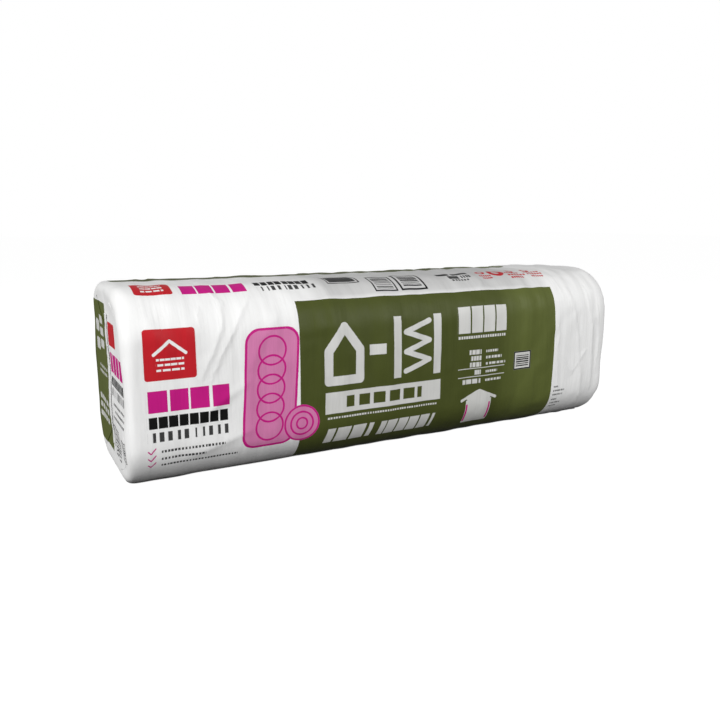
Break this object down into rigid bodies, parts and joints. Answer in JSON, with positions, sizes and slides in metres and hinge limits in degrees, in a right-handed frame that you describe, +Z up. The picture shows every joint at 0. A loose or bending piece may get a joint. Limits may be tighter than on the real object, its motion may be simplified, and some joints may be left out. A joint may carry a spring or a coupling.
{
  "type": "bagged bundle of kraft faced fiberglass batts",
  "caption": "Long poly bag of folded, kraft faced glass wool batts squeezed side by side, closed by a heat-sealed fin on each end, lying on its long side.",
  "frame": {"origin": "middle of the bag's footprint, at the level of the foot it lies on", "axes": "+X along the bag towards the batts' free ends, +Y through the pack of batts away from the broad printed face, +Z up"},
  "size_m": [1.2294, 0.3558, 0.3839],
  "materials": {
    "poly_film": "white printed polyethylene film, glossy and softly wrinkled",
    "glass_wool": "matte, matted glass fibre",
    "kraft_paper": "matte brown kraft paper with an asphalt coat on the wool side"
  },
  "bodies": {
    "root": {"poly_bag": "poly_film", "glass_wool_batt_1": "glass_wool", "glass_wool_batt_2": "glass_wool", "glass_wool_batt_3": "glass_wool", "glass_wool_batt_4": "glass_wool", "glass_wool_batt_5": "glass_wool", "glass_wool_batt_6": "glass_wool", "glass_wool_batt_7": "glass_wool", "kraft_facing_1": "kraft_paper", "kraft_facing_2": "kraft_paper", "kraft_facing_3": "kraft_paper", "kraft_facing_4": "kraft_paper", "kraft_facing_5": "kraft_paper", "kraft_facing_6": "kraft_paper", "kraft_facing_7": "kraft_paper"}
  },
  "joints": []
}
